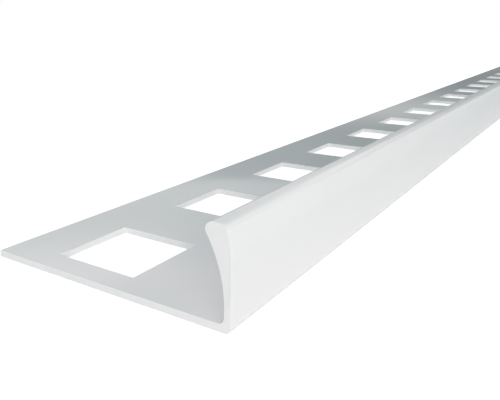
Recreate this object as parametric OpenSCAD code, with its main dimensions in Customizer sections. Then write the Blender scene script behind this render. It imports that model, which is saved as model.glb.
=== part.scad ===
// Tile edge trim: one extruded length of white PVC.
// A perforated anchoring leg lies in the adhesive under the tile, and an upright
// wall covers the tile's cut edge. The wall flares into a rounded head at the top.

/* [Stock] */
// Length of the piece as it is sold
trim_length = 1000; // [100:1:3000]
// Overall height, which is the thickness of the tile and its bedding
trim_height = 10; // [9:0.5:15]

/* [Anchoring leg] */
// Width of the leg, from the visible front face to its free edge
leg_width = 31; // [26:0.1:40]
// Thickness of the leg
leg_thickness = 0.79; // [0.6:0.01:1.4]

/* [Upright wall] */
// Thickness of the wall below the flare
wall_thickness = 0.68; // [0.6:0.01:1.2]
// Radius inside the corner between leg and wall
corner_fillet = 0.7; // [0.3:0.05:1]
// Radius outside that corner, along the bottom of the front face
bottom_round = 0.55; // [0.2:0.05:1]

/* [Head] */
// Depth below the top at which the inside of the wall starts to flare
flare_depth = 7.6; // [7:0.1:8.2]
// Radius of the hollow flare on the inside of the wall
flare_radius = 12.3; // [12:0.1:17]
// Depth below the top at which the front face starts to lean back
lean_depth = 3.35; // [2:0.05:4]
// Radius of that lean
lean_radius = 9.3; // [8:0.1:20]
// Radius of the head's inner top edge
head_inner_round = 0.76; // [0.3:0.02:0.9]
// Radius of the head's outer top edge
head_outer_round = 0.82; // [0.3:0.02:0.9]

/* [Perforation] */
// Side of each square hole
hole_side = 10.9; // [6:0.1:14]
// Distance from one hole to the next
hole_pitch = 21.45; // [16:0.05:30]
// Solid strip between the holes and the leg's free edge
edge_strip = 6.55; // [3:0.05:10]
// Solid strip between the cut end and the first hole
end_strip = 2.93; // [1:0.01:8]

/* [Hidden] */
$fn = 96;
// Sides of the two large arcs, whose facets would be long with the number above
large_arc_sides = 384;
// How far a cutting tool reaches past the material that it cuts
overcut = 1;
// How far a round edge laps over the arc beside it, so that the two cross and don't only touch
lap = 0.0005;

// The section is drawn from the front face (0) towards the free edge, and upwards from the underside.
flare_start = trim_height - flare_depth;
lean_start = trim_height - lean_depth;
flare_centre = [wall_thickness + flare_radius, flare_start];
lean_centre = [lean_radius, lean_start];
// A round edge meets the flat top and the curved side beside it, which places its centre.
inner_edge_z = trim_height - head_inner_round;
outer_edge_z = trim_height - head_outer_round;
inner_edge_centre = [
    flare_centre.x - sqrt(pow(flare_radius + head_inner_round - lap, 2) - pow(inner_edge_z - flare_start, 2)),
    inner_edge_z];
outer_edge_centre = [
    lean_centre.x - sqrt(pow(lean_radius - head_outer_round + lap, 2) - pow(outer_edge_z - lean_start, 2)),
    outer_edge_z];
// A point in the hollow of the flare, straight out from the inner round edge
inner_reach = inner_edge_centre
    + (flare_centre - inner_edge_centre) * (head_inner_round + overcut) / flare_radius;
// Where the outer round edge runs into the lean
outer_touch = lean_centre
    + (outer_edge_centre - lean_centre) * lean_radius / (lean_radius - head_outer_round + lap);

hole_row_y = leg_width - edge_strip - hole_side;
hole_count = floor((trim_length - 2 * end_strip - hole_side) / hole_pitch) + 1;

// Leg, with its lower front corner left to corner_section()
module leg_section() {
    translate([bottom_round, 0]) square([leg_width - bottom_round, leg_thickness]);
}

// Corner between leg and wall: rounded outside, filleted inside
module corner_section() {
    difference() {
        square([wall_thickness + corner_fillet, leg_thickness + corner_fillet]);
        difference() {
            square(bottom_round);
            translate([bottom_round, bottom_round]) circle(r = bottom_round);
        }
        translate([wall_thickness + corner_fillet, leg_thickness + corner_fillet])
            circle(r = corner_fillet);
    }
}

// Wall and head between straight chords, with the flare hollowed out of the inside
module wall_section() {
    difference() {
        polygon([
            [0, bottom_round], [wall_thickness, bottom_round], [wall_thickness, flare_start],
            inner_reach, inner_edge_centre, [inner_edge_centre.x, trim_height],
            [outer_edge_centre.x, trim_height], outer_edge_centre, outer_touch, [0, lean_start]]);
        intersection() {
            translate(flare_centre) circle(r = flare_radius, $fn = large_arc_sides);
            translate([wall_thickness, flare_start]) square(trim_height);
        }
    }
}

// Round edges of the head, and the swell of the front face that leans back into them
module head_rounds() {
    translate(inner_edge_centre) circle(r = head_inner_round);
    translate(outer_edge_centre) circle(r = head_outer_round);
    intersection() {
        translate(lean_centre) circle(r = lean_radius, $fn = large_arc_sides);
        polygon([[0, lean_start], outer_edge_centre, outer_touch, [0, outer_touch.y]]);
    }
}

module trim_section() {
    leg_section();
    corner_section();
    wall_section();
    head_rounds();
}

// One tool for each hole of the row, at a place given by its number along the stick
module hole_row() {
    for (hole = [0 : hole_count - 1])
        translate([end_strip + hole * hole_pitch, hole_row_y, -overcut])
            cube([hole_side, hole_side, leg_thickness + 2 * overcut]);
}

module edge_trim() {
    color("white")
        translate([-trim_length / 2, -leg_width / 2, 0])
            difference() {
                rotate([90, 0, 90]) linear_extrude(height = trim_length) trim_section();
                hole_row();
            }
}

edge_trim();
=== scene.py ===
# Looks of the tile edge trim: one extruded stick of white PVC, lying on a pale studio floor.
from math import acos, cos, degrees, pi, radians, sin, sqrt

import bpy
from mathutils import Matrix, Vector


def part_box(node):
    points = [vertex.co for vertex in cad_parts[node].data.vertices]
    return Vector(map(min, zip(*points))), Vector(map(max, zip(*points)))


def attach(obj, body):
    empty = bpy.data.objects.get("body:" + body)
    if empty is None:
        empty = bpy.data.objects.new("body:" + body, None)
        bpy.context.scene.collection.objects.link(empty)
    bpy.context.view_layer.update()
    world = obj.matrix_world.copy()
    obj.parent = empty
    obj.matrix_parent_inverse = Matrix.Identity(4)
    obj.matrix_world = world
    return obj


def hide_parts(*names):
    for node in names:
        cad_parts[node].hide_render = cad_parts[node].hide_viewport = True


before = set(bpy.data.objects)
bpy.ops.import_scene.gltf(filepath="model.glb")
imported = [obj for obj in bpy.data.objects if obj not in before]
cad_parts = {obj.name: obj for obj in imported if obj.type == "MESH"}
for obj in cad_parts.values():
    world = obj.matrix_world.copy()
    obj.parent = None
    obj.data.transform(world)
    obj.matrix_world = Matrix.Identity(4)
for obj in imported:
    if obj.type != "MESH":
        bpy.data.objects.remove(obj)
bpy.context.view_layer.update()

# Sizes in metres: the stick's own box comes from the frame, and the rest repeats the part's source
MM = 0.001
stick_low, stick_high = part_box("edge_trim")
TRIM_LENGTH = stick_high.x - stick_low.x
LEG_WIDTH = stick_high.y - stick_low.y
TRIM_HEIGHT = stick_high.z - stick_low.z
LEG_THICKNESS = 0.79 * MM
WALL_THICKNESS = 0.68 * MM
CORNER_FILLET = 0.7 * MM
BOTTOM_ROUND = 0.55 * MM
FLARE_DEPTH = 7.6 * MM
FLARE_RADIUS = 12.3 * MM
LEAN_DEPTH = 3.35 * MM
LEAN_RADIUS = 9.3 * MM
HEAD_INNER_ROUND = 0.76 * MM
HEAD_OUTER_ROUND = 0.82 * MM
HOLE_SIDE = 10.9 * MM
HOLE_PITCH = 21.45 * MM
EDGE_STRIP = 6.55 * MM
END_STRIP = 2.93 * MM

# As many holes as the length takes
HOLE_COUNT = int((TRIM_LENGTH - 2 * END_STRIP - HOLE_SIDE) / HOLE_PITCH) + 1

# Edges that the part's source leaves sharp are broken a little
LEG_EDGE_ROUND = 0.04 * MM
SAWN_EDGE_ROUND = 0.03 * MM
HOLE_CORNER_ROUND = 0.08 * MM
HOLE_RIM_ROUND = 0.03 * MM

# The head's flat top is shaded as leaning to the front by this many degrees, and its round edges
# take up that lean along a power curve
HEAD_CROWN = 7.0
CROWN_EASE = 1.15

# How finely the arcs are divided: broken edges, the flare, the lean, and the others by their angle
EDGE_STEPS = 4
FLARE_STEPS = 30
LEAN_STEPS = 16
DEGREES_PER_STEP = 5.0
# How far a broken edge has turned at each of its steps
EDGE_TURNS = [pi / 2 * step / EDGE_STEPS for step in range(EDGE_STEPS + 1)]

# Which way the corners of a square lie from its middle, in turn
SQUARE_CORNERS = ((1, 1), (-1, 1), (-1, -1), (1, -1))


# Node trees

class Value:
    """A number socket that takes part in sums: each operation adds one Math node."""

    def __init__(self, tree, socket):
        self.tree = tree
        self.socket = socket

    def math(self, operation, *numbers):
        inputs = dict(enumerate(numbers))
        return self.tree.node("ShaderNodeMath", {"operation": operation}, inputs).value("Value")

    def __add__(self, other):
        return self.math("ADD", self, other)

    def __mul__(self, other):
        return self.math("MULTIPLY", self, other)

    __radd__ = __add__
    __rmul__ = __mul__


class Node:
    """One node of a tree, whose outputs are taken by name."""

    def __init__(self, tree, made):
        self.tree = tree
        self.made = made

    def socket(self, name):
        return next(s for s in self.made.outputs if s.name == name and s.enabled)

    def value(self, name):
        return Value(self.tree, self.socket(name))


class Tree:
    """The node tree of a material or of the world, emptied."""

    def __init__(self, owner):
        owner.use_nodes = True
        self.made = owner.node_tree
        self.made.nodes.clear()

    def node(self, kind, settings=None, inputs=None):
        """A node of that type. Settings are set first, then its sockets, by name or number."""
        made = self.made.nodes.new(kind)
        for name, setting in (settings or {}).items():
            if name == "stops":
                self.set_stops(made.color_ramp, setting)
            else:
                setattr(made, name, setting)
        for name, given in (inputs or {}).items():
            self.feed(self.find(made, name), given)
        return Node(self, made)

    def set_stops(self, ramp, stops):
        while len(ramp.elements) < len(stops):
            ramp.elements.new(1.0)
        for element, (place, colour) in zip(ramp.elements, stops):
            element.position = place
            element.color = (*colour, 1.0)

    def find(self, made, name):
        if isinstance(name, int):
            return made.inputs[name]
        return next(s for s in made.inputs if s.name == name and s.enabled)

    def feed(self, socket, given):
        given = getattr(given, "socket", given)
        if isinstance(given, bpy.types.NodeSocket):
            self.made.links.new(given, socket)
        else:
            socket.default_value = given


# Materials

PVC_IOR = 1.53
# Skin and sawn ends vary between these two
PVC_WHITE = (0.87, 0.87, 0.866, 1.0)
PVC_SHADE = (0.855, 0.857, 0.852, 1.0)
# Punched walls vary between these two
CUT_WHITE = (0.92, 0.92, 0.915, 1.0)
CUT_SHADE = (0.90, 0.90, 0.895, 1.0)

# Skin: its roughness, what die lines and mottle add to it, its relief and the die lines' share in that
SKIN_ROUGHNESS = 0.035
DIE_LINE_ROUGHNESS = 0.03
MOTTLE_ROUGHNESS = 0.02
SKIN_RELIEF = 0.004 * MM
DIE_LINE_SHARE = 0.05
# The head is rubbed a little duller than the rest by handling
RUBBED_DEPTH = 0.6 * MM
RUBBED_ROUGHNESS = 0.15
# The lower edges are painted a little paler: painted light that lifts the shade where they turn under
# towards the floor
PAINTED_LIGHT_HEIGHT = 0.4 * MM
PAINTED_LIGHT_WHITE = (0.96, 0.96, 0.955, 1.0)

# Sawn ends and punched walls: roughness, what their marks add to it, relief and the dust's share in that
SAWN_ROUGHNESS = 0.42
STROKE_ROUGHNESS = 0.12
SAWN_RELIEF = 0.006 * MM
DUST_SHARE = 0.4
PUNCHED_ROUGHNESS = 0.34
DRAG_ROUGHNESS = 0.12
PUNCHED_RELIEF = 0.005 * MM


def pvc_tree(name):
    """A material for the trim, its tree and the place on the stick as a vector in metres."""
    material = bpy.data.materials.new(name)
    tree = Tree(material)
    place = tree.node("ShaderNodeTexCoord").socket("Object")
    return material, tree, place


def stretched(tree, place, along=1.0, across=1.0, up=1.0):
    """The place, scaled so that marks become longer in the direction whose number is small."""
    inputs = {0: place, 1: (along, across, up)}
    return tree.node("ShaderNodeVectorMath", {"operation": "MULTIPLY"}, inputs).socket("Vector")


def noise(tree, place, scale, detail):
    """Soft marks between 0 and 1, about as many to a metre as scale says."""
    inputs = {"Vector": place, "Scale": scale, "Detail": detail}
    return tree.node("ShaderNodeTexNoise", None, inputs).value("Fac")


def mixed(tree, amount, first, second):
    """A colour between two others, the second where the amount is 1."""
    inputs = {"Factor": amount, "A": first, "B": second}
    return tree.node("ShaderNodeMix", {"data_type": "RGBA"}, inputs).socket("Result")


def fade(tree, value, start, end):
    """Rises smoothly from 0 at start to 1 at end."""
    inputs = {"Value": value, "From Min": start, "From Max": end}
    return tree.node("ShaderNodeMapRange", {"interpolation_type": "SMOOTHSTEP"}, inputs).value("Result")


def finish_pvc(tree, colour, roughness, marks, relief):
    """Puts colour, roughness and marks on a PVC shader. Relief is the depth of the marks in metres."""
    bump = tree.node("ShaderNodeBump", None, {"Strength": 1.0, "Distance": relief, "Height": marks})
    shader = tree.node("ShaderNodeBsdfPrincipled", None, {
        "Base Color": colour,
        "Roughness": roughness,
        "IOR": PVC_IOR,
        "Normal": bump.socket("Normal")})
    tree.node("ShaderNodeOutputMaterial", None, {"Surface": shader.socket("BSDF")})


def extruded_skin():
    """Smooth glossy skin as it leaves the die: faint lines along the stick and a slow waviness."""
    material, tree, place = pvc_tree("extruded_skin")
    die_lines = noise(tree, stretched(tree, place, along=0.01), scale=2600.0, detail=3.0)
    waviness = noise(tree, stretched(tree, place, along=0.4), scale=90.0, detail=1.0)
    mottle = noise(tree, place, scale=160.0, detail=4.0)
    height = tree.node("ShaderNodeSeparateXYZ", None, {"Vector": place}).value("Z")
    rubbed = fade(tree, height, stick_high.z - RUBBED_DEPTH, stick_high.z)
    # Painted light: the colour turns paler towards the underside, to lift the shade of the bottom edges by
    # the floor
    painted_light = fade(tree, height, stick_low.z + PAINTED_LIGHT_HEIGHT, stick_low.z)
    colour = mixed(tree, painted_light, mixed(tree, mottle, PVC_SHADE, PVC_WHITE), PAINTED_LIGHT_WHITE)
    roughness = (
        SKIN_ROUGHNESS + DIE_LINE_ROUGHNESS * die_lines + MOTTLE_ROUGHNESS * mottle
        + RUBBED_ROUGHNESS * rubbed)
    finish_pvc(tree, colour, roughness, DIE_LINE_SHARE * die_lines + waviness, SKIN_RELIEF)
    return material


def sawn_end():
    """Cut end: fine strokes of the blade, duller than the skin."""
    material, tree, place = pvc_tree("sawn_end")
    strokes = noise(tree, stretched(tree, place, across=0.08), scale=4200.0, detail=3.0)
    dust = noise(tree, place, scale=1500.0, detail=4.0)
    colour = mixed(tree, dust, PVC_SHADE, PVC_WHITE)
    roughness = SAWN_ROUGHNESS + STROKE_ROUGHNESS * strokes
    finish_pvc(tree, colour, roughness, strokes + DUST_SHARE * dust, SAWN_RELIEF)
    return material


def punched_wall():
    """Wall of a punched hole: drag marks of the punch from face to face."""
    material, tree, place = pvc_tree("punched_wall")
    drag_marks = noise(tree, stretched(tree, place, up=0.1), scale=3800.0, detail=2.0)
    dust = noise(tree, place, scale=1200.0, detail=4.0)
    colour = mixed(tree, dust, CUT_SHADE, CUT_WHITE)
    roughness = PUNCHED_ROUGHNESS + DRAG_ROUGHNESS * drag_marks
    finish_pvc(tree, colour, roughness, drag_marks, PUNCHED_RELIEF)
    return material


SKIN, SAWN, PUNCHED = range(3)
FINISHES = (extruded_skin(), sawn_end(), punched_wall())


# Section of the stick

def arc(centre, radius, start, end, hollow=False, steps=None):
    """Points of an arc with their normals. Angles are in degrees, and a hollow arc faces its centre."""
    steps = steps or max(EDGE_STEPS, round(abs(end - start) / DEGREES_PER_STEP))
    facing = -1 if hollow else 1
    points = []
    for step in range(steps + 1):
        angle = radians(start + (end - start) * step / steps)
        ray = Vector((cos(angle), sin(angle)))
        points.append((centre + radius * ray, facing * ray))
    return points


def crowned(points, first, last):
    """An arc's points, with normals that lean to the front by first to last degrees."""
    result = []
    for step, (point, _) in enumerate(points):
        share = (step / (len(points) - 1)) ** CROWN_EASE
        lean = radians(first + (last - first) * share)
        result.append((point, Vector((-sin(lean), cos(lean)))))
    return result


def flare_and_head():
    """The hollow flare inside the wall, the two round edges of the head and the leaning front."""
    flare_start = TRIM_HEIGHT - FLARE_DEPTH
    lean_start = TRIM_HEIGHT - LEAN_DEPTH
    flare_centre = Vector((WALL_THICKNESS + FLARE_RADIUS, flare_start))
    lean_centre = Vector((LEAN_RADIUS, lean_start))
    inner_rise = TRIM_HEIGHT - HEAD_INNER_ROUND - flare_start
    outer_rise = TRIM_HEIGHT - HEAD_OUTER_ROUND - lean_start
    inner_reach = FLARE_RADIUS + HEAD_INNER_ROUND
    outer_reach = LEAN_RADIUS - HEAD_OUTER_ROUND
    inner_centre = flare_centre + Vector((-sqrt(inner_reach ** 2 - inner_rise ** 2), inner_rise))
    outer_centre = lean_centre + Vector((-sqrt(outer_reach ** 2 - outer_rise ** 2), outer_rise))
    inner_turn = degrees(acos((flare_centre.x - inner_centre.x) / inner_reach))
    outer_turn = degrees(acos((lean_centre.x - outer_centre.x) / outer_reach))
    flare = arc(flare_centre, FLARE_RADIUS, 180, 180 - inner_turn, hollow=True, steps=FLARE_STEPS)
    inner_edge = arc(inner_centre, HEAD_INNER_ROUND, -inner_turn, 90)
    outer_edge = arc(outer_centre, HEAD_OUTER_ROUND, 90, 180 - outer_turn)
    lean = arc(lean_centre, LEAN_RADIUS, 180 - outer_turn, 180, steps=LEAN_STEPS)
    inner_edge = crowned(inner_edge, -90 - inner_turn, HEAD_CROWN)
    outer_edge = crowned(outer_edge, HEAD_CROWN, 90 - outer_turn)
    # Arcs that touch share the point where they do
    return flare + inner_edge[1:] + outer_edge + lean[1:]


def section():
    """Outline across the stick: points with normals, and where the leg's two flats start."""
    outline = arc(Vector((BOTTOM_ROUND, BOTTOM_ROUND)), BOTTOM_ROUND, 180, 270)
    underside = len(outline) - 1
    free_edge = LEG_WIDTH - LEG_EDGE_ROUND
    lower_centre = Vector((free_edge, LEG_EDGE_ROUND))
    upper_centre = Vector((free_edge, LEG_THICKNESS - LEG_EDGE_ROUND))
    outline += arc(lower_centre, LEG_EDGE_ROUND, 270, 360, steps=EDGE_STEPS)
    outline += arc(upper_centre, LEG_EDGE_ROUND, 0, 90, steps=EDGE_STEPS)
    upper_side = len(outline) - 1
    fillet_centre = Vector((WALL_THICKNESS + CORNER_FILLET, LEG_THICKNESS + CORNER_FILLET))
    outline += arc(fillet_centre, CORNER_FILLET, 270, 180, hollow=True)
    outline += flare_and_head()
    return outline, underside, upper_side


# Mesh of the stick

class StickMesh:
    """Vertices with their normals, and faces with their finish."""

    def __init__(self):
        self.places = []
        self.normals = []
        self.faces = []
        self.finishes = []

    def vertex(self, place, normal):
        self.places.append(place)
        self.normals.append(normal)
        return len(self.places) - 1

    def face(self, corners, finish):
        self.faces.append(corners)
        self.finishes.append(finish)

    def band(self, first, second, finish, skip=()):
        """Quads between two closed rows of vertices, without those whose number is in skip."""
        count = len(first)
        for i in range(count):
            if i not in skip:
                j = (i + 1) % count
                self.face((first[i], first[j], second[j], second[i]), finish)

    def build(self, name):
        mesh = bpy.data.meshes.new(name)
        mesh.from_pydata(self.places, [], self.faces)
        for finish in FINISHES:
            mesh.materials.append(finish)
        mesh.polygons.foreach_set("material_index", self.finishes)
        mesh.polygons.foreach_set("use_smooth", [True] * len(self.faces))
        mesh.normals_split_custom_set_from_vertices(self.normals)
        mesh.validate(clean_customdata=False)
        piece = bpy.data.objects.new(name, mesh)
        bpy.context.scene.collection.objects.link(piece)
        return piece


def at(along, across, up):
    """A place in the part's frame, from the near end, the front face and the underside."""
    return Vector((stick_low.x + along, stick_low.y + across, stick_low.z + up))


def section_row(stick, outline, along, inset=0.0, lean=0.0):
    """One row of vertices round the section, drawn in and its normals leaning along the stick."""
    level = sqrt(1 - lean * lean)
    row = []
    for point, normal in outline:
        drawn = point - inset * normal
        facing = Vector((lean, level * normal.x, level * normal.y))
        row.append(stick.vertex(at(along, drawn.x, drawn.y), facing))
    return row


def cut_end(stick, outline, row, end, facing):
    """Broken edge and flat of a sawn end, from the row where the edge starts. Facing is -1 or 1."""
    for turn in EDGE_TURNS[1:]:
        inset = SAWN_EDGE_ROUND * (1 - cos(turn))
        along = end - facing * SAWN_EDGE_ROUND * (1 - sin(turn))
        next_row = section_row(stick, outline, along, inset, facing * sin(turn))
        stick.band(*((next_row, row) if facing < 0 else (row, next_row)), SAWN)
        row = next_row
    stick.face(tuple(row) if facing > 0 else tuple(reversed(row)), SAWN)


def hole_ring(stick, middle, grow, up, tilt):
    """Vertices round a hole. Grow widens the ring, and tilt turns its normals up out of the hole."""
    half = HOLE_SIDE / 2 - HOLE_CORNER_ROUND
    level = cos(tilt)
    ring = []
    for quarter, corner in enumerate(SQUARE_CORNERS):
        centre = middle + half * Vector(corner)
        start = 90 * quarter
        bend = arc(centre, HOLE_CORNER_ROUND + grow, start, start + 90, hollow=True, steps=EDGE_STEPS)
        for point, normal in bend:
            facing = Vector((level * normal.x, level * normal.y, sin(tilt)))
            ring.append(stick.vertex(at(point.x, point.y, up), facing))
    return ring


def hole_flat(stick, corners, ring, upward):
    """The leg's flat round one hole, as four faces from the cell's corners to the ring."""
    per_corner = EDGE_STEPS + 1
    middle = EDGE_STEPS // 2
    for quarter in range(4):
        following = (quarter + 1) % 4
        inner = [ring[quarter * per_corner + k] for k in range(middle, per_corner)]
        inner += [ring[following * per_corner + k] for k in range(middle + 1)]
        face = [corners[quarter], *inner, corners[following]]
        stick.face(tuple(reversed(face)) if upward else tuple(face), SKIN)


def hole(stick, middle, upper_corners, lower_corners):
    """One punched hole with its rounded rims, and the flats of the leg round it."""
    rings = []
    for turn in EDGE_TURNS:
        up = LEG_THICKNESS - HOLE_RIM_ROUND * (1 - cos(turn))
        rings.append(hole_ring(stick, middle, HOLE_RIM_ROUND * (1 - sin(turn)), up, pi / 2 - turn))
    for turn in EDGE_TURNS:
        up = HOLE_RIM_ROUND * (1 - sin(turn))
        rings.append(hole_ring(stick, middle, HOLE_RIM_ROUND * (1 - cos(turn)), up, -turn))
    for upper, lower in zip(rings, rings[1:]):
        stick.band(upper, lower, PUNCHED)
    hole_flat(stick, upper_corners, rings[0], upward=True)
    hole_flat(stick, lower_corners, rings[-1], upward=False)


def trim_stick():
    """The whole stick as one closed mesh: the section's rows between holes, the holes and both ends."""
    stick = StickMesh()
    outline, underside, upper_side = section()
    hole_middles = [END_STRIP + HOLE_SIDE / 2 + number * HOLE_PITCH for number in range(HOLE_COUNT)]
    stations = [SAWN_EDGE_ROUND]
    stations += [middle + HOLE_PITCH / 2 for middle in hole_middles[:-1]]
    stations += [TRIM_LENGTH - SAWN_EDGE_ROUND]
    rows = [section_row(stick, outline, along) for along in stations]
    hole_row = LEG_WIDTH - EDGE_STRIP - HOLE_SIDE / 2
    for near, far, along in zip(rows, rows[1:], hole_middles):
        stick.band(near, far, SKIN, skip=(underside, upper_side))
        upper_corners = (far[upper_side], near[upper_side], near[upper_side + 1], far[upper_side + 1])
        lower_corners = (far[underside + 1], near[underside + 1], near[underside], far[underside])
        hole(stick, Vector((along, hole_row)), upper_corners, lower_corners)
    cut_end(stick, outline, rows[0], 0.0, -1)
    cut_end(stick, outline, rows[-1], TRIM_LENGTH, 1)
    return stick.build("trim_stick")


piece = trim_stick()
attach(piece, "root")
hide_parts("edge_trim")


# Studio

FLOOR_SIZE = 60.0
# The floor lies this far under the stick, so that the two don't share a plane
FLOOR_DROP = 0.02 * MM
FLOOR_COLOUR = (0.94, 0.94, 0.94, 1.0)
WHITE = (1.0, 1.0, 1.0, 1.0)
# The camera sees the floor as this much plain glow, with the rest from its lit and shaded surface
FLOOR_GLOW = 0.93
FLOOR_SHADED = (0.25, 0.23, 0.23, 1.0)
# Share of that white studio that shows in the trim's gloss
WHITE_IN_GLOSS = 0.08


def shown_white(tree):
    """How much of the white studio a ray sees: all from the camera or through glass, a little in gloss."""
    path = tree.node("ShaderNodeLightPath")
    seen = path.value("Is Camera Ray") + path.value("Is Transmission Ray")
    return seen + WHITE_IN_GLOSS * path.value("Is Glossy Ray")


def studio_floor():
    """A large pale floor that keeps the soft shadow of the stick."""
    material = bpy.data.materials.new("studio_floor")
    tree = Tree(material)
    matt = tree.node("ShaderNodeBsdfDiffuse", None, {"Color": FLOOR_COLOUR})
    shaded = tree.node("ShaderNodeBsdfDiffuse", None, {"Color": FLOOR_SHADED})
    glow = tree.node("ShaderNodeEmission", None, {"Color": WHITE, "Strength": FLOOR_GLOW})
    white = tree.node("ShaderNodeAddShader", None, {
        0: shaded.socket("BSDF"),
        1: glow.socket("Emission")})
    shown = tree.node("ShaderNodeMixShader", None, {
        "Fac": shown_white(tree),
        1: matt.socket("BSDF"),
        2: white.socket("Shader")})
    tree.node("ShaderNodeOutputMaterial", None, {"Surface": shown.socket("Shader")})
    half = FLOOR_SIZE / 2
    corners = [(half * x, half * y, -FLOOR_DROP) for x, y in SQUARE_CORNERS]
    mesh = bpy.data.meshes.new("floor")
    mesh.from_pydata(corners, [], [(0, 1, 2, 3)])
    mesh.materials.append(material)
    floor = bpy.data.objects.new("floor", mesh)
    bpy.context.scene.collection.objects.link(floor)


# Brightness of the room by height above the horizon in degrees, as parts of the brightest
ROOM_STRENGTH = 1.8
HORIZON = (1.0, 1.0, 1.0)
LOW_WALL = (0.080, 0.085, 0.075)
DIM_WALL = (0.012, 0.029, 0.036)
PALE_STRIP = (0.28, 0.28, 0.27)
PALE_BAND = (0.39, 0.38, 0.385)
LAMP_BAND = (1.0, 0.87, 0.90)
DIM_CEILING = (0.024, 0.096, 0.102)
ROOM = (
    (0, HORIZON),
    (3, LOW_WALL),
    (5.7, DIM_WALL),
    (7.8, PALE_STRIP),
    (9.9, DIM_WALL),
    (15.0, DIM_WALL),
    (15.1, PALE_BAND),
    (19, PALE_BAND),
    (24, LAMP_BAND),
    (32, PALE_BAND),
    (45, DIM_CEILING),
    (90, DIM_CEILING))


def studio_surround():
    """The room, white to the camera: dim walls with a pale strip, a band of light and a dim ceiling."""
    world = bpy.data.worlds.new("studio_surround")
    bpy.context.scene.world = world
    tree = Tree(world)
    direction = tree.node("ShaderNodeTexCoord").socket("Generated")
    rise = tree.node("ShaderNodeSeparateXYZ", None, {"Vector": direction}).value("Z")
    stops = [(sin(radians(height)), colour) for height, colour in ROOM]
    ramp = tree.node("ShaderNodeValToRGB", {"stops": stops}, {"Fac": rise})
    room = tree.node("ShaderNodeBackground", None, {
        "Color": ramp.socket("Color"),
        "Strength": ROOM_STRENGTH})
    white = tree.node("ShaderNodeBackground", None, {"Color": WHITE, "Strength": 1.0})
    shown = tree.node("ShaderNodeMixShader", None, {
        "Fac": shown_white(tree),
        1: room.socket("Background"),
        2: white.socket("Background")})
    tree.node("ShaderNodeOutputWorld", None, {"Surface": shown.socket("Shader")})


# Lamps are a little warmer than the room, so that what they light comes out as plain white
LAMP_WHITE = (1.0, 0.942, 0.933)
# Middle of the near end, from which the lamps are placed
NEAR_END = at(0.0, LEG_WIDTH / 2, 0.0)


def softbox(name, place, size, watts, aim=(0.0, 0.0, 0.0), spread=180, mirrored=True):
    """A soft lamp that the camera doesn't see. Place and aim are in metres from the near end."""
    light = bpy.data.lights.new(name, "AREA")
    light.shape = "RECTANGLE"
    light.size, light.size_y = size
    light.energy = watts
    light.spread = radians(spread)
    light.color = LAMP_WHITE
    lamp = bpy.data.objects.new(name, light)
    lamp.location = NEAR_END + Vector(place)
    lamp.rotation_euler = (Vector(aim) - Vector(place)).to_track_quat("-Z", "Y").to_euler()
    lamp.visible_camera = False
    lamp.visible_glossy = mirrored
    bpy.context.scene.collection.objects.link(lamp)


studio_floor()
studio_surround()
# Close to the near end, where its image in the gloss would hide the leg from behind
softbox("near_softbox", (-0.3, -0.3, 0.2), size=(0.3, 0.3), watts=0.91, mirrored=False)
softbox("front_softbox", (0.2, -2.0, 0.9), size=(2.4, 1.2), watts=10.6)
softbox("end_softbox", (-2.0, -0.4, 0.9), size=(2.0, 1.2), watts=4.85)
# Low behind the stick, for the inside of the wall
softbox("back_softbox", (0.4, 2.0, 0.1), size=(2.4, 0.16), watts=8.0, aim=(0.4, 0.0, 0.0))
# A narrow beam for the far half of the front
softbox("far_softbox", (0.9, -0.5, 0.35), size=(0.5, 0.25), watts=0.2, aim=(0.85, 0.0, 0.0), spread=84)


# Camera, placed from the photograph's vanishing points

IMAGE_WIDTH = 500
FOCAL_PIXELS = 578.4
# Column of the image that the camera's axis meets
AXIS_COLUMN = 207
SENSOR_WIDTH = 36.0
CAMERA_BEFORE_END = 37.29 * MM
CAMERA_BEFORE_FRONT = 23.15 * MM
CAMERA_HEIGHT = 25.68 * MM
# Degrees from the stick's direction towards its back, and below the horizon
CAMERA_TURN = 34.43
CAMERA_DIP = 17.13

camera_data = bpy.data.cameras.new("camera")
camera_data.sensor_width = SENSOR_WIDTH
camera_data.lens = FOCAL_PIXELS * SENSOR_WIDTH / IMAGE_WIDTH
camera_data.shift_x = (IMAGE_WIDTH / 2 - AXIS_COLUMN) / IMAGE_WIDTH
camera_data.clip_start = 1 * MM
camera = bpy.data.objects.new("camera", camera_data)
camera.location = at(-CAMERA_BEFORE_END, -CAMERA_BEFORE_FRONT, CAMERA_HEIGHT)
camera.rotation_euler = (radians(90 - CAMERA_DIP), 0.0, radians(CAMERA_TURN - 90))
bpy.context.scene.collection.objects.link(camera)
bpy.context.scene.camera = camera
bpy.context.scene.view_settings.view_transform = "Standard"
